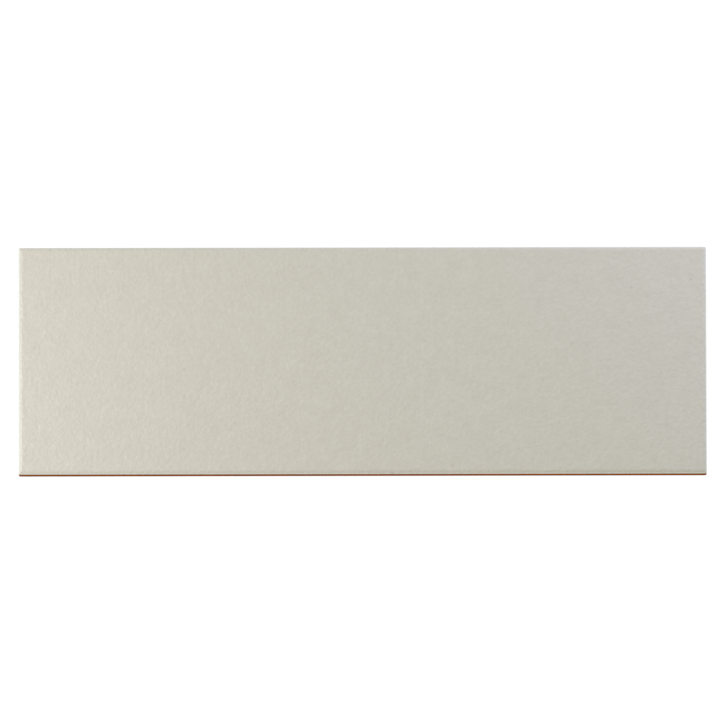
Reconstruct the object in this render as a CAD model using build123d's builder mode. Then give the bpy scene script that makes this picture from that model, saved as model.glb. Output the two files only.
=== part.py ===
"""Glazed ceramic wall tile, pressed from red clay and fired in one piece.

The origin is at the centre of the back. +X runs along the length, +Y along the width, and +Z
points out of the glazed face. Sizes are in millimetres and degrees.
"""

import os

from build123d import *

# Overall size
tile_length = 300.0
tile_width = 100.0
tile_thickness = 9.0

# Edges: a cushioned rim round the glazed face, near-sharp upright corners, a bevel round the back
cushion_radius = 1.8
corner_radius = 0.8
bevel_width = 0.6
bevel_height = 1.2

# Keyed back: shallow square pockets that grip the adhesive, with ribs between them
pocket_side = 18.0
pocket_depth = 0.8
pocket_corner_radius = 2.0
pocket_draft = 25.0
rib_width = 4.0
border_least = 5.0

# The pocket pattern follows from the room that the bevel and the plain border leave
pocket_pitch = pocket_side + rib_width
back_edge = bevel_width + border_least
pocket_columns = int((tile_length - 2 * back_edge + rib_width) // pocket_pitch)
pocket_rows = int((tile_width - 2 * back_edge + rib_width) // pocket_pitch)


def edge_section(plane: Plane, span: float) -> Sketch:
    """Section across one span of the tile: bevelled foot, upright side and cushioned rim."""
    half_span = span / 2
    with BuildSketch(plane) as section:
        with BuildLine():
            side = Polyline(
                (0, 0),
                (half_span - bevel_width, 0),
                (half_span, bevel_height),
                (half_span, tile_thickness - cushion_radius),
            )
            rim = JernArc(start=side @ 1, tangent=(0, 1), radius=cushion_radius, arc_size=90)
            Line(rim @ 1, (0, tile_thickness))
            mirror(about=Plane.YZ)
        make_face()
    return section.sketch


width_section = edge_section(Plane.YZ, tile_width)
length_section = edge_section(Plane.XZ, tile_length)

with BuildPart() as tile:
    # The two sections cross, so the cushioned rims meet in a mitre at each corner
    extrude(width_section, amount=tile_length / 2, both=True)
    extrude(length_section, amount=tile_width / 2, both=True, mode=Mode.INTERSECT)

    # The upright corners are eased
    with BuildSketch(Plane.XY):
        RectangleRounded(tile_length, tile_width, corner_radius)
    extrude(amount=tile_thickness, mode=Mode.INTERSECT)

    # The pockets narrow towards their floors, so that the die lets go
    with BuildSketch(Plane.XY):
        with GridLocations(pocket_pitch, pocket_pitch, pocket_columns, pocket_rows):
            RectangleRounded(pocket_side, pocket_side, pocket_corner_radius)
    extrude(amount=pocket_depth, taper=pocket_draft, mode=Mode.SUBTRACT)

tile.part.label = "wall_tile"

os.makedirs("parts", exist_ok=True)
export_step(tile.part, "parts/wall_tile.step")
print(f"{pocket_columns} x {pocket_rows} pockets, {tile.part.volume / 1000:.1f} cm3")
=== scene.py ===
"""Looks of a glazed wall tile: satin glaze over bare red clay, lying on a white light table.

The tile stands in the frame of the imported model, in metres, with its back on the floor, its
length along X and its glazed face up.
"""

from __future__ import annotations

import logging
import math
from collections.abc import Callable
from dataclasses import dataclass, field
from enum import Enum
from typing import Any

import bmesh
import bpy
from mathutils import Matrix, Vector

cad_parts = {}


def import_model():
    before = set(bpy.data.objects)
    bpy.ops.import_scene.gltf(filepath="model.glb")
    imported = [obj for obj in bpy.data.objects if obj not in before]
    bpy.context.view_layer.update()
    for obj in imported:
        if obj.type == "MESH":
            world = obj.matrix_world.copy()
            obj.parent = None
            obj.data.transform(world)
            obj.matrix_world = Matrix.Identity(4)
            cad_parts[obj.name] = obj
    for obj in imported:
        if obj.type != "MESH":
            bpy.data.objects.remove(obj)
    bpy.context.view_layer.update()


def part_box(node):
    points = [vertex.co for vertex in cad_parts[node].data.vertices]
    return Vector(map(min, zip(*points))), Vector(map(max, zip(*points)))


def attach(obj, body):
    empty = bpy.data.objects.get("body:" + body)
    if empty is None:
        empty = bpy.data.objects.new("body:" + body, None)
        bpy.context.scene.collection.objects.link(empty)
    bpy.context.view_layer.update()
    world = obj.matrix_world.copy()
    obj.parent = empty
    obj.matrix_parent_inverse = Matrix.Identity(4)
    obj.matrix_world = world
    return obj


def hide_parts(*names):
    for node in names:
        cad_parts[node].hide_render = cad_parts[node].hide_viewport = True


log = logging.getLogger("wall_tile")

MM = 0.001
CAD_NODE = "wall_tile"
BODY = "root"
GRAIN = "grain"

# Rounding in a size that is read from the frame, and in a height that is compared
SIZE_SLACK = MM / 1000
SAME_HEIGHT = MM / 100

# Level of a noise that moves nothing, halfway between its troughs and crests
MID_LEVEL = 0.5

# Sockets of a Mix node that take its two colours, and the one that gives the mixed colour
MIX_FROM = 6
MIX_TO = 7
MIXED = 2


class Element(Enum):
    """What an edit-mode selection picks, by the name of its select mode."""

    EDGE = "EDGE"
    FACE = "FACE"


class Zone(Enum):
    """Surface of the tile, by the number of its material slot."""

    GLAZE = 0
    CLAY = 1


class Push(Enum):
    """Way in which a noise moves the surface, by the name of its displace direction."""

    OUTWARDS = "NORMAL"
    UPWARDS = "Z"


def linear(hex_colour: str) -> tuple[float, float, float, float]:
    """Turn an sRGB hex colour into linear light.

    Args:
        hex_colour: Colour such as "#C8C4B8".

    Returns:
        Linear red, green, blue and an alpha of 1.
    """
    channels = [int(hex_colour[at : at + 2], 16) / 255 for at in (1, 3, 5)]
    light = [c / 12.92 if c <= 0.04045 else ((c + 0.055) / 1.055) ** 2.4 for c in channels]
    return light[0], light[1], light[2], 1.0


def per_metre(size_mm: float) -> float:
    """Texture scale on coordinates in metres for a feature of this size in millimetres."""
    return 1.0 / (size_mm * MM)


def add_node(
    tree: bpy.types.NodeTree,
    kind: str,
    settings: dict[str, Any] | None = None,
    inputs: dict[str | int, Any] | None = None,
) -> bpy.types.Node:
    """Add a node to a material, with its settings and what goes into it.

    Args:
        tree: Node tree of the material.
        kind: Node type, such as "ShaderNodeTexNoise".
        settings: Node properties by name.
        inputs: By socket name or number, a plain value or the output socket to link.

    Returns:
        The new node.
    """
    node = tree.nodes.new(kind)
    for name, value in (settings or {}).items():
        setattr(node, name, value)
    for key, value in (inputs or {}).items():
        if isinstance(value, bpy.types.NodeSocket):
            tree.links.new(value, node.inputs[key])
        else:
            node.inputs[key].default_value = value
    return node


def new_material(name: str) -> bpy.types.Material:
    """Add a material with an empty node tree.

    Args:
        name: Name of the real material.

    Returns:
        The new material.
    """
    made = bpy.data.materials.new(name)
    made.use_nodes = True
    made.node_tree.nodes.clear()
    return made


def pick_edges(piece: bpy.types.Object, wanted: Callable[[bmesh.types.BMEdge], bool]) -> None:
    """Select, in edit mode, only the edges that pass a test.

    Args:
        piece: Object that is in edit mode.
        wanted: Test on one edge.
    """
    bpy.ops.mesh.select_mode(type=Element.EDGE.value)
    bpy.ops.mesh.select_all(action="DESELECT")
    mesh = bmesh.from_edit_mesh(piece.data)
    for edge in mesh.edges:
        if wanted(edge):
            edge.select_set(True)
    mesh.select_flush_mode()
    bmesh.update_edit_mesh(piece.data)


def pick_open_edges() -> None:
    """Select, in edit mode, only the edges that have a face on one side."""
    bpy.ops.mesh.select_mode(type=Element.EDGE.value)
    bpy.ops.mesh.select_all(action="DESELECT")
    bpy.ops.mesh.select_non_manifold(
        extend=False,
        use_wire=False,
        use_boundary=True,
        use_multi_face=False,
        use_non_contiguous=False,
        use_verts=False,
    )


@dataclass(frozen=True)
class SatinGlaze:
    """Satin wall-tile glaze, sprayed and fired: a warm pale grey with a soft broad sheen.

    The surface tension of the melt leaves an orange-peel grain, which is in the mesh. Here are its
    tone, darker in its troughs, which is in part deeper glaze where the melt gathered and in part
    painted shade of the grain, a faint cloudiness, a finer tooth, a few pinholes where gas came
    out,
    and the rim: cooler over the arris, with a paler band above the lip that is a painted highlight
    on the steep part, and the lip, where the glaze thins out and the clay shows through. The floor
    of a pinhole is a share of its radius, and its pit a share of the tooth's height.
    """

    cloud_deep: str = "#BBB6A9"
    cloud_pale: str = "#D7D5C9"
    # Colour of the troughs of the grain: in part deeper glaze, in part painted shade of the grain
    pooled_trough_shade: str = "#C2BEB2"
    arris: str = "#CACABF"
    # Paler band on the steep part of the rim: a painted highlight
    steep_rim_highlight: str = "#D7DAD4"
    lip: str = "#A98A66"
    pinhole: str = "#BFBAAD"
    cloud_mm: float = 5.6
    cloud_octaves: float = 3.0
    cloud_roughness: float = 1.0
    tooth_mm: float = 1.1
    tooth_octaves: float = 2.0
    tooth_low: float = 0.3
    tooth_high: float = 0.7
    tooth_height_mm: float = 0.20
    pinhole_cell_mm: float = 13.0
    pinhole_mm: float = 1.0
    pinhole_floor: float = 0.2
    pinhole_pit: float = 0.3
    pinhole_share: float = 0.07
    roughness_low: float = 0.38
    roughness_high: float = 0.46
    ior: float = 1.5

    def material(self, face_height: float, glaze_line: float) -> bpy.types.Material:
        """Make the glaze.

        Args:
            face_height: Height of the glazed face, in metres.
            glaze_line: Height on the side where the glaze ends, in metres.

        Returns:
            The material.
        """
        made = new_material("satin_glaze")
        tree = made.node_tree
        place = add_node(tree, "ShaderNodeTexCoord").outputs["Object"]
        body = self._body(tree, place)
        rimmed = self._rim(tree, place, body, face_height, glaze_line)
        pinhole = self._pinholes(tree, place)
        pitted = add_node(
            tree,
            "ShaderNodeMix",
            {"data_type": "RGBA"},
            {"Factor": pinhole, MIX_FROM: rimmed, MIX_TO: linear(self.pinhole)},
        )

        # The fine tooth breaks up the sheen
        tooth = add_node(
            tree,
            "ShaderNodeTexNoise",
            inputs={
                "Vector": place,
                "Scale": per_metre(self.tooth_mm),
                "Detail": self.tooth_octaves,
            },
        )
        sheen = add_node(
            tree,
            "ShaderNodeMapRange",
            inputs={
                "Value": tooth.outputs["Fac"],
                "From Min": self.tooth_low,
                "From Max": self.tooth_high,
                "To Min": self.roughness_low,
                "To Max": self.roughness_high,
            },
        )
        relief = add_node(
            tree,
            "ShaderNodeMath",
            {"operation": "MULTIPLY_ADD"},
            {0: pinhole, 1: -self.pinhole_pit, 2: tooth.outputs["Fac"]},
        )
        bump = add_node(
            tree,
            "ShaderNodeBump",
            inputs={
                "Distance": self.tooth_height_mm * MM,
                "Height": relief.outputs["Value"],
            },
        )
        shader = add_node(
            tree,
            "ShaderNodeBsdfPrincipled",
            inputs={
                "Base Color": pitted.outputs[MIXED],
                "Roughness": sheen.outputs["Result"],
                "IOR": self.ior,
                "Normal": bump.outputs["Normal"],
            },
        )
        add_node(tree, "ShaderNodeOutputMaterial", inputs={"Surface": shader.outputs["BSDF"]})
        return made

    def _body(self, tree: bpy.types.NodeTree, place: bpy.types.NodeSocket) -> bpy.types.NodeSocket:
        """Colour the glaze: a little cloudy, with painted shade and deeper glaze between the
        crests.

        Args:
            tree: Node tree of the glaze.
            place: Object coordinates.

        Returns:
            Colour of the face.
        """
        clouds = add_node(
            tree,
            "ShaderNodeTexNoise",
            inputs={
                "Vector": place,
                "Scale": per_metre(self.cloud_mm),
                "Detail": self.cloud_octaves,
                "Roughness": self.cloud_roughness,
            },
        )
        crest = add_node(
            tree,
            "ShaderNodeMix",
            {"data_type": "RGBA"},
            {
                "Factor": clouds.outputs["Fac"],
                MIX_FROM: linear(self.cloud_deep),
                MIX_TO: linear(self.cloud_pale),
            },
        )
        # Darker in the troughs of the grain: in part deeper glaze where the melt gathered, in part
        # painted shade
        grain = add_node(tree, "ShaderNodeAttribute", {"attribute_name": GRAIN})
        pooled_and_shaded = add_node(
            tree,
            "ShaderNodeMix",
            {"data_type": "RGBA"},
            {
                "Factor": grain.outputs["Fac"],
                MIX_FROM: linear(self.pooled_trough_shade),
                MIX_TO: crest.outputs[MIXED],
            },
        )
        return pooled_and_shaded.outputs[MIXED]

    def _rim(
        self,
        tree: bpy.types.NodeTree,
        place: bpy.types.NodeSocket,
        body: bpy.types.NodeSocket,
        face_height: float,
        glaze_line: float,
    ) -> bpy.types.NodeSocket:
        """Colour the rim: cooler over the arris, a painted highlight on the steep part, clay at
        the lip.

        Args:
            tree: Node tree of the glaze.
            place: Object coordinates.
            body: Colour of the face.
            face_height: Height of the glazed face, in metres.
            glaze_line: Height on the side where the glaze ends, in metres.

        Returns:
            Colour of the face and the rim.
        """
        height = add_node(tree, "ShaderNodeSeparateXYZ", inputs={"Vector": place}).outputs["Z"]
        depth = add_node(
            tree,
            "ShaderNodeMapRange",
            inputs={"Value": height, "From Min": face_height, "From Max": glaze_line},
        )
        bands = add_node(tree, "ShaderNodeValToRGB", inputs={"Fac": depth.outputs["Result"]})

        # Share of the way down to the lip, with the shares of arris colour, painted highlight and
        # lip colour there
        stops = (
            (0.12, (0.0, 0.0, 0.0)),
            (0.28, (0.6, 0.0, 0.0)),
            (0.50, (0.1, 0.5, 0.0)),
            (0.72, (0.0, 1.0, 0.0)),
            (0.92, (0.0, 1.0, 0.0)),
            (1.00, (0.0, 0.0, 1.0)),
        )
        ramp = bands.color_ramp
        while len(ramp.elements) < len(stops):
            ramp.elements.new(position=0.5)
        for stop, (position, shares) in zip(ramp.elements, stops):
            stop.position = position
            stop.color = (*shares, 1.0)

        share = add_node(tree, "ShaderNodeSeparateColor", inputs={"Color": bands.outputs["Color"]})
        # The green share paints a highlight on the steep part of the rim
        colour = body
        for band, tint in (("Red", self.arris), ("Green", self.steep_rim_highlight), ("Blue", self.lip)):
            mixed = add_node(
                tree,
                "ShaderNodeMix",
                {"data_type": "RGBA"},
                {"Factor": share.outputs[band], MIX_FROM: colour, MIX_TO: linear(tint)},
            )
            colour = mixed.outputs[MIXED]
        return colour

    def _pinholes(
        self, tree: bpy.types.NodeTree, place: bpy.types.NodeSocket
    ) -> bpy.types.NodeSocket:
        """Scatter the pinholes: a soft pit in a few of the cells of a loose grid.

        Args:
            tree: Node tree of the glaze.
            place: Object coordinates.

        Returns:
            How deep a place is in a pinhole, from 0 to 1.
        """
        cells = add_node(
            tree,
            "ShaderNodeTexVoronoi",
            {"voronoi_dimensions": "2D"},
            {"Vector": place, "Scale": per_metre(self.pinhole_cell_mm)},
        )
        draw = add_node(tree, "ShaderNodeSeparateColor", inputs={"Color": cells.outputs["Color"]})
        chosen = add_node(
            tree,
            "ShaderNodeMath",
            {"operation": "LESS_THAN"},
            {0: draw.outputs["Red"], 1: self.pinhole_share},
        )
        reach = self.pinhole_mm / self.pinhole_cell_mm
        hole = add_node(
            tree,
            "ShaderNodeMapRange",
            {"interpolation_type": "SMOOTHSTEP"},
            {
                "Value": cells.outputs["Distance"],
                "From Min": reach,
                "From Max": self.pinhole_floor * reach,
                "To Max": chosen.outputs["Value"],
            },
        )
        return hole.outputs["Result"]


@dataclass(frozen=True)
class RedClay:
    """Dry-pressed red clay, fired bare: matt terracotta with a sandy grain and no shine.

    Iron specks and paler grog show in it, and a little glaze dust has settled under the lip.
    """

    clay_mid: str = "#934F20"
    clay_dark: str = "#763E1A"
    clay_pale: str = "#AC7044"
    iron: str = "#5A3020"
    dust: str = "#CDBFA9"
    blotch_mm: float = 14.0
    blotch_octaves: float = 4.0
    grain_mm: float = 0.5
    grain_octaves: float = 5.0
    grain_roughness: float = 0.65
    grain_height_mm: float = 0.25
    grain_strength: float = 0.7
    grog_low: float = 0.48
    grog_high: float = 0.72
    speck_mm: float = 1.6
    speck_octaves: float = 3.0
    speck_low: float = 0.68
    speck_high: float = 0.74
    dust_reach_mm: float = 1.0
    dust_share: float = 0.2
    roughness: float = 0.92
    specular: float = 0.0

    def material(self, glaze_line: float) -> bpy.types.Material:
        """Make the clay.

        Args:
            glaze_line: Height on the side where the glaze ends, in metres.

        Returns:
            The material.
        """
        made = new_material("fired_red_clay")
        tree = made.node_tree
        place = add_node(tree, "ShaderNodeTexCoord").outputs["Object"]

        # Firing tones the clay in broad patches, and its grain is sandy
        blotch = add_node(
            tree,
            "ShaderNodeTexNoise",
            inputs={
                "Vector": place,
                "Scale": per_metre(self.blotch_mm),
                "Detail": self.blotch_octaves,
            },
        )
        toned = add_node(
            tree,
            "ShaderNodeMix",
            {"data_type": "RGBA"},
            {
                "Factor": blotch.outputs["Fac"],
                MIX_FROM: linear(self.clay_dark),
                MIX_TO: linear(self.clay_mid),
            },
        )
        grain = add_node(
            tree,
            "ShaderNodeTexNoise",
            inputs={
                "Vector": place,
                "Scale": per_metre(self.grain_mm),
                "Detail": self.grain_octaves,
                "Roughness": self.grain_roughness,
            },
        )
        grog = add_node(
            tree,
            "ShaderNodeMapRange",
            inputs={
                "Value": grain.outputs["Fac"],
                "From Min": self.grog_low,
                "From Max": self.grog_high,
            },
        )
        sandy = add_node(
            tree,
            "ShaderNodeMix",
            {"data_type": "RGBA"},
            {
                "Factor": grog.outputs["Result"],
                MIX_FROM: toned.outputs[MIXED],
                MIX_TO: linear(self.clay_pale),
            },
        )

        # Iron specks
        specks = add_node(
            tree,
            "ShaderNodeTexNoise",
            inputs={
                "Vector": place,
                "Scale": per_metre(self.speck_mm),
                "Detail": self.speck_octaves,
            },
        )
        iron = add_node(
            tree,
            "ShaderNodeMapRange",
            inputs={
                "Value": specks.outputs["Fac"],
                "From Min": self.speck_low,
                "From Max": self.speck_high,
            },
        )
        specked = add_node(
            tree,
            "ShaderNodeMix",
            {"data_type": "RGBA"},
            {
                "Factor": iron.outputs["Result"],
                MIX_FROM: sandy.outputs[MIXED],
                MIX_TO: linear(self.iron),
            },
        )

        # Glaze dust just under the lip
        height = add_node(tree, "ShaderNodeSeparateXYZ", inputs={"Vector": place}).outputs["Z"]
        near = add_node(
            tree,
            "ShaderNodeMapRange",
            {"interpolation_type": "SMOOTHSTEP"},
            {
                "Value": height,
                "From Min": glaze_line - self.dust_reach_mm * MM,
                "From Max": glaze_line,
                "To Max": self.dust_share,
            },
        )
        settled = add_node(
            tree,
            "ShaderNodeMath",
            {"operation": "MULTIPLY"},
            {0: near.outputs["Result"], 1: blotch.outputs["Fac"]},
        )
        dusted = add_node(
            tree,
            "ShaderNodeMix",
            {"data_type": "RGBA"},
            {
                "Factor": settled.outputs["Value"],
                MIX_FROM: specked.outputs[MIXED],
                MIX_TO: linear(self.dust),
            },
        )
        bump = add_node(
            tree,
            "ShaderNodeBump",
            inputs={
                "Strength": self.grain_strength,
                "Distance": self.grain_height_mm * MM,
                "Height": grain.outputs["Fac"],
            },
        )
        shader = add_node(
            tree,
            "ShaderNodeBsdfPrincipled",
            inputs={
                "Base Color": dusted.outputs[MIXED],
                "Roughness": self.roughness,
                "Specular IOR Level": self.specular,
                "Normal": bump.outputs["Normal"],
            },
        )
        add_node(tree, "ShaderNodeOutputMaterial", inputs={"Surface": shader.outputs["BSDF"]})
        return made


@dataclass
class GlazedTile:
    """The whole tile: grained face, cushioned rim, glaze lip, bare sides and keyed back.

    Sizes are in metres, and the origin is at the centre of the back. The crowding is a share of
    a grid line's distance from the end, the lip's rounding one of its step and height, and the
    fade of the grain one of the cushion's radius.
    """

    length: float
    width: float
    thickness: float
    cushion_radius: float = 1.8 * MM
    corner_radius: float = 0.8 * MM
    bevel_width: float = 0.6 * MM
    bevel_height: float = 1.2 * MM
    pocket_side: float = 18.0 * MM
    pocket_depth: float = 0.8 * MM
    pocket_corner_radius: float = 2.0 * MM
    pocket_corner_steps: int = 4
    pocket_draft: float = math.radians(25.0)
    rib_width: float = 4.0 * MM
    border_least: float = 5.0 * MM
    glaze_depth: float = 2.0 * MM
    lip_height: float = 0.12 * MM
    lip_step: float = 0.05 * MM
    lip_round: tuple[float, float] = (0.3, 0.35)
    lip_guard: float = 0.24 * MM
    lip_reach: float = 0.15 * MM
    lip_wander: float = 0.2 * MM
    lip_wave: float = 7.0 * MM
    cell: float = 0.62 * MM
    crowding: float = 0.6
    crowd_reach: float = 2.5 * MM
    cushion_steps: int = 8
    grain_dip: float = 0.18 * MM
    grain_height: float = 0.44 * MM
    grain_size: float = 1.5 * MM
    swell_height: float = 0.04 * MM
    swell_size: float = 22.0 * MM
    fade_start: float = 0.7
    fade_span: float = 0.4
    smooth_angle: float = math.radians(32.0)
    face_height: float = field(init=False)
    glaze_line: float = field(init=False)
    pitch: float = field(init=False)
    columns: int = field(init=False)
    rows: int = field(init=False)

    def __post_init__(self) -> None:
        """Work out the heights of the face and the glaze line, and the pocket pattern."""
        self.face_height = self.thickness - self.grain_dip
        self.glaze_line = self.thickness - self.glaze_depth
        self.pitch = self.pocket_side + self.rib_width
        self.columns = self._pockets_along(self.length)
        self.rows = self._pockets_along(self.width)

    def _pockets_along(self, span: float) -> int:
        """Count the pockets that the bevel and the plain border leave room for along a span."""
        room = span - 2 * (self.bevel_width + self.border_least)
        return int((room + self.rib_width + SIZE_SLACK) // self.pitch)

    def build(self) -> bpy.types.Object:
        """Model the tile as one closed mesh.

        Returns:
            The piece, at the origin.
        """
        piece = self._lay_face()
        bpy.ops.object.mode_set(mode="EDIT")
        self._roll_sides()
        self._press_back(piece)
        bpy.ops.object.mode_set(mode="OBJECT")
        self._ease_corners(piece)
        self._raise_grain(piece)
        bpy.ops.object.shade_smooth_by_angle(angle=self.smooth_angle)
        return piece

    def dress(self, piece: bpy.types.Object, glaze: SatinGlaze, clay: RedClay) -> None:
        """Give the face and rim their glaze, and the rest its bare clay.

        Args:
            piece: The tile that build made.
            glaze: Finish of the face, the rim and the lip.
            clay: Finish of the sides and the back.
        """
        piece.data.materials.append(glaze.material(self.face_height, self.glaze_line))
        piece.data.materials.append(clay.material(self.glaze_line))

    def _stations(self) -> list[tuple[float, float]]:
        """List the loops down the side.

        Returns:
            Inset from the outline and height of each loop, from the rim down to the back.
        """
        radius = self.cushion_radius
        drop = self.face_height - (self.thickness - radius)
        steps = range(1, self.cushion_steps + 1)
        turns = [math.pi / 2 * step / self.cushion_steps for step in steps]
        cushion = [
            (radius * (1 - math.sin(turn)), self.face_height - drop * (1 - math.cos(turn)))
            for turn in turns
        ]
        round_inset, round_height = self.lip_round
        lip = [
            (0.0, self.glaze_line + self.lip_height),
            (round_inset * self.lip_step, self.glaze_line + round_height * self.lip_height),
            (self.lip_step, self.glaze_line),
        ]

        # The first loop of the clay keeps the wander of the lip off the side
        clay = [
            (self.lip_step, self.glaze_line - self.lip_guard),
            (self.lip_step, self.bevel_height),
            (self.bevel_width, 0.0),
        ]
        return cushion + lip + clay

    def _lay_face(self) -> bpy.types.Object:
        """Add the flat of the face as a fine grid.

        Returns:
            The new piece.
        """
        flat_length = self.length - 2 * self.cushion_radius
        flat_width = self.width - 2 * self.cushion_radius
        bpy.ops.object.select_all(action="DESELECT")
        bpy.ops.mesh.primitive_grid_add(
            x_subdivisions=round(flat_length / self.cell),
            y_subdivisions=round(flat_width / self.cell),
            size=1.0,
            location=(0.0, 0.0, self.face_height),
        )
        piece = bpy.context.active_object
        piece.name = "glazed_tile"
        piece.data.name = "glazed_tile"
        piece.scale = (flat_length, flat_width, 1.0)
        bpy.ops.object.transform_apply(location=True, rotation=True, scale=True)

        # The grid closes up towards the corners, so that their small rounding has points to spare
        for vertex in piece.data.vertices:
            vertex.co.x = self._crowd(vertex.co.x, flat_length / 2)
            vertex.co.y = self._crowd(vertex.co.y, flat_width / 2)
        return piece

    def _crowd(self, place: float, half: float) -> float:
        """Move a grid line outwards, if it is near the end of its span.

        Args:
            place: Where the line is, from the middle of the span.
            half: Half of the span.

        Returns:
            The line's new place.
        """
        short = half - abs(place)
        short *= 1 - self.crowding * math.exp(-((short / self.crowd_reach) ** 2))
        return math.copysign(half - short, place)

    def _roll_sides(self) -> None:
        """Extrude the face's border over the cushion, round the lip and down to the back."""
        pick_open_edges()
        inset, height = self.cushion_radius, self.face_height
        for next_inset, next_height in self._stations():
            bpy.ops.mesh.extrude_region_move(
                TRANSFORM_OT_translate={"value": (0.0, 0.0, next_height - height)}
            )
            bpy.ops.transform.resize(
                value=(
                    (self.length / 2 - next_inset) / (self.length / 2 - inset),
                    (self.width / 2 - next_inset) / (self.width / 2 - inset),
                    1.0,
                ),
                center_override=(0.0, 0.0, next_height),
            )
            inset, height = next_inset, next_height

    def _press_back(self, piece: bpy.types.Object) -> None:
        """Press the pockets into a plate of the back and close the border round it.

        Args:
            piece: The tile, in edit mode.
        """
        bpy.ops.mesh.select_mode(type=Element.FACE.value)
        bpy.ops.mesh.primitive_grid_add(
            x_subdivisions=self.columns,
            y_subdivisions=self.rows,
            size=1.0,
            location=(0.0, 0.0, 0.0),
        )
        bpy.ops.transform.resize(
            value=(self.columns * self.pitch, self.rows * self.pitch, 1.0),
            center_override=(0.0, 0.0, 0.0),
        )
        draw_in = self.pocket_depth * math.tan(self.pocket_draft)
        bpy.ops.mesh.inset(use_individual=True, thickness=self.rib_width / 2, depth=0.0)
        bpy.ops.mesh.inset(use_individual=True, thickness=draw_in, depth=self.pocket_depth)

        def is_wall_corner(edge: bmesh.types.BMEdge) -> bool:
            """Tell whether an edge runs from the mouth of a pocket to its floor."""
            low, high = sorted(v.co.z for v in edge.verts)
            return abs(low) < SAME_HEIGHT and abs(high - self.pocket_depth) < SAME_HEIGHT

        pick_edges(piece, is_wall_corner)
        bpy.ops.mesh.bevel(
            affect="EDGES",
            offset_type="OFFSET",
            offset=self.pocket_corner_radius,
            segments=self.pocket_corner_steps,
        )

        # The border ring lies between the bevel's foot and the plate
        pick_open_edges()
        bpy.ops.mesh.fill(use_beauty=True)
        bpy.ops.mesh.select_all(action="SELECT")
        bpy.ops.mesh.normals_make_consistent(inside=False)

    def _ease_corners(self, piece: bpy.types.Object) -> None:
        """Round the upright corners by drawing their squares in to quarter discs.

        Args:
            piece: The tile, in object mode.
        """
        start_x = self.length / 2 - self.corner_radius
        start_y = self.width / 2 - self.corner_radius
        for vertex in piece.data.vertices:
            over_x = abs(vertex.co.x) - start_x
            over_y = abs(vertex.co.y) - start_y
            if over_x > 0 and over_y > 0:
                draw = max(over_x, over_y) / math.hypot(over_x, over_y)
                vertex.co.x = math.copysign(start_x + over_x * draw, vertex.co.x)
                vertex.co.y = math.copysign(start_y + over_y * draw, vertex.co.y)

    def _raise_grain(self, piece: bpy.types.Object) -> None:
        """Set the surface zones, raise the orange-peel grain and let the lip wander.

        Args:
            piece: The tile, in object mode.
        """
        for face in piece.data.polygons:
            bare = face.center.z < self.glaze_line
            face.material_index = (Zone.CLAY if bare else Zone.GLAZE).value

        glazed = piece.vertex_groups.new(name="glazed")
        lip = piece.vertex_groups.new(name="lip")
        fade_from = self.thickness - self.fade_start * self.cushion_radius
        for vertex in piece.data.vertices:
            up = (vertex.co.z - fade_from) / (self.fade_span * self.cushion_radius)
            if up > 0:
                glazed.add([vertex.index], min(1.0, up), "REPLACE")
            if abs(vertex.co.z - self.glaze_line) < self.lip_reach:
                lip.add([vertex.index], 1.0, "REPLACE")

        mesh = piece.data
        smooth = [(vertex.co.copy(), vertex.normal.copy()) for vertex in mesh.vertices]
        self._displace(
            piece, "orange_peel", "glazed", self.grain_size, self.grain_height, Push.OUTWARDS
        )
        # The grain's height is kept for the glaze, which paints shade into its troughs by it
        tone = mesh.attributes.new(GRAIN, "FLOAT", "POINT")
        for vertex, (start, outward) in zip(mesh.vertices, smooth):
            lift = (vertex.co - start).dot(outward)
            tone.data[vertex.index].value = MID_LEVEL + lift / self.grain_height
        self._displace(piece, "swell", "glazed", self.swell_size, self.swell_height, Push.OUTWARDS)
        self._displace(piece, "lip_wander", "lip", self.lip_wave, self.lip_wander, Push.UPWARDS)
        piece.vertex_groups.clear()

    @staticmethod
    def _displace(
        piece: bpy.types.Object,
        name: str,
        group: str,
        size: float,
        strength: float,
        push: Push,
    ) -> None:
        """Displace a vertex group by smooth noise and apply it.

        Args:
            piece: Object to displace.
            name: Name of the texture and the modifier.
            group: Name of the vertex group that moves, by weight.
            size: Size of the noise, in metres.
            strength: Height from trough to crest, in metres.
            push: Way in which the noise moves the surface.
        """
        noise = bpy.data.textures.new(name, type="CLOUDS")
        noise.noise_basis = "IMPROVED_PERLIN"
        noise.noise_scale = size
        noise.noise_depth = 1
        wave = piece.modifiers.new(name, "DISPLACE")
        wave.texture = noise
        wave.texture_coords = "LOCAL"
        wave.vertex_group = group
        wave.direction = push.value
        wave.strength = strength
        wave.mid_level = MID_LEVEL
        bpy.ops.object.modifier_apply(modifier=name)


@dataclass(frozen=True)
class Softbox:
    """One soft studio light, aimed at the middle of the tile, in metres and watts."""

    name: str
    place: tuple[float, float, float]
    side: float
    power: float
    colour: str

    def hang(self, aim: Vector) -> None:
        """Hang the light.

        Args:
            aim: Point that the light faces.
        """
        lamp = bpy.data.lights.new(self.name, "AREA")
        lamp.shape = "SQUARE"
        lamp.size = self.side
        lamp.energy = self.power
        lamp.color = linear(self.colour)[:3]
        light = bpy.data.objects.new(self.name, lamp)
        light.location = self.place
        light.rotation_euler = (aim - Vector(self.place)).to_track_quat("-Z", "Y").to_euler()
        light.visible_camera = False
        bpy.context.scene.collection.objects.link(light)


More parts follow.
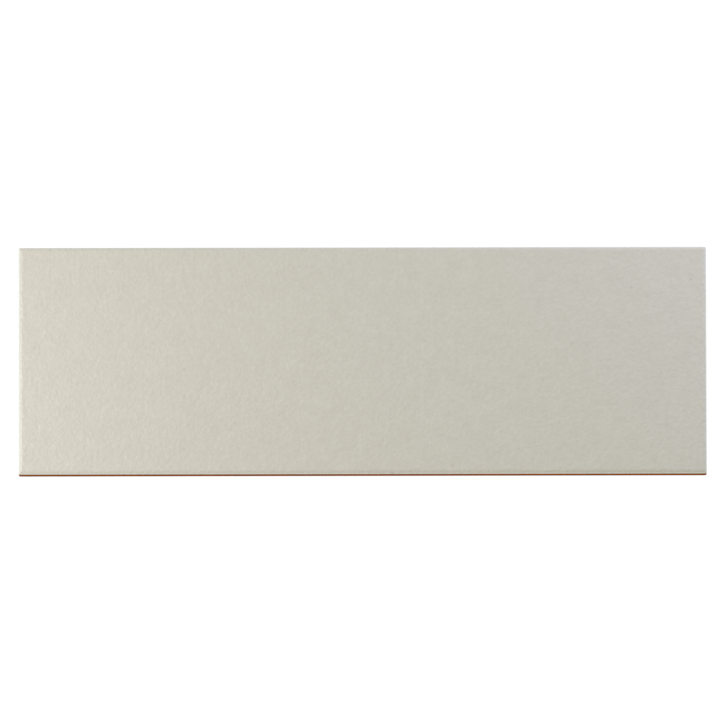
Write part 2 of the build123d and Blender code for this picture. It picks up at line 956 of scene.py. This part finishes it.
@dataclass(frozen=True)
class LightTable:
    """The studio: a white lit table, softboxes and a far camera almost straight above the tile.

    Sizes are in metres, apart from the camera's sensor, which is in millimetres.
    """

    floor_side: float = 8.0
    floor_drop: float = 0.05 * MM
    floor_tone: str = "#303030"
    floor_roughness: float = 0.9
    floor_light: str = "#FFFFFF"
    floor_glow: float = 0.985
    ambient: str = "#FFFBEB"
    ambient_strength: float = 0.569
    camera_distance: float = 12.0
    camera_sight: float = 48.0
    camera_pitch: float = math.radians(9.0)
    camera_roll: float = math.radians(-0.11)
    camera_aside: tuple[float, float] = (-0.21 * MM, -0.85 * MM)
    picture_width: float = 315.7 * MM
    sensor: float = 36.0
    softboxes: tuple[Softbox, ...] = (
        Softbox("key_left", (-0.42, -0.05, 0.32), 0.30, 1.729, "#F5F6FF"),
        Softbox("cool_far_right", (0.38, 0.26, 0.26), 0.30, 1.32, "#D1DCFF"),
    )

    def build(self, aim: Vector) -> None:
        """Lay the table, light it and set the camera.

        Args:
            aim: Point that the lights and the camera face.
        """
        self._lay_floor()
        self._light_air()
        for softbox in self.softboxes:
            softbox.hang(aim)
        self._set_camera(aim)
        bpy.context.scene.view_settings.view_transform = "Standard"

    def _lay_floor(self) -> None:
        """Lay the white table top, which glows so that no shadow is left on it."""
        bpy.ops.object.select_all(action="DESELECT")
        bpy.ops.mesh.primitive_plane_add(
            size=self.floor_side, location=(0.0, 0.0, -self.floor_drop)
        )
        floor = bpy.context.active_object
        floor.name = "light_table"

        # Opal acrylic, lit from below: its own tone is dark, so that lamps and shadows hardly show
        # on it. Its glow isn't sampled as a lamp, because that brings noise into the grain
        made = new_material("opal_acrylic")
        made.cycles.emission_sampling = "NONE"
        tree = made.node_tree
        shader = add_node(
            tree,
            "ShaderNodeBsdfPrincipled",
            inputs={
                "Base Color": linear(self.floor_tone),
                "Roughness": self.floor_roughness,
                "Emission Color": linear(self.floor_light),
                "Emission Strength": self.floor_glow,
            },
        )
        add_node(tree, "ShaderNodeOutputMaterial", inputs={"Surface": shader.outputs["BSDF"]})
        floor.data.materials.append(made)

    def _light_air(self) -> None:
        """Fill the room with an even, slightly warm white light."""
        world = bpy.data.worlds.new("white_room")
        world.use_nodes = True
        air = world.node_tree.nodes["Background"]
        air.inputs["Color"].default_value = linear(self.ambient)
        air.inputs["Strength"].default_value = self.ambient_strength
        bpy.context.scene.world = world

    def _set_camera(self, aim: Vector) -> None:
        """Set the camera far above the tile, a little towards its near long edge.

        Args:
            aim: Point in the middle of the picture.
        """
        lens = bpy.data.cameras.new("photo_camera")
        lens.sensor_width = self.sensor
        lens.lens = self.sensor * self.camera_distance / self.picture_width
        lens.clip_end = self.camera_sight
        camera = bpy.data.objects.new("photo_camera", lens)
        back = Vector((0.0, -math.sin(self.camera_pitch), math.cos(self.camera_pitch)))
        tilt = Matrix.Rotation(self.camera_pitch, 4, "X")
        roll = Matrix.Rotation(self.camera_roll, 4, "Z")
        centre = aim + Vector((*self.camera_aside, 0.0))
        stand = Matrix.Translation(centre + back * self.camera_distance)
        camera.matrix_world = stand @ (tilt @ roll)
        bpy.context.scene.collection.objects.link(camera)
        bpy.context.scene.camera = camera


def main() -> None:
    """Load the frame, build and dress the tile, and set the studio round it."""
    logging.basicConfig(level=logging.INFO, format="%(name)s: %(message)s")
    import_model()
    low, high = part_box(CAD_NODE)

    size = high - low
    tile = GlazedTile(length=size.x, width=size.y, thickness=size.z)
    piece = tile.build()
    tile.dress(piece, SatinGlaze(), RedClay())
    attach(piece, BODY)
    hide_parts(CAD_NODE)
    log.info(
        "%s: %d faces, %d x %d pockets",
        piece.name,
        len(piece.data.polygons),
        tile.columns,
        tile.rows,
    )

    studio = LightTable()
    studio.build(Vector((0.0, 0.0, tile.face_height)))
    log.info("light table, %d softboxes and camera set", len(studio.softboxes))


if __name__ == "__main__":
    main()
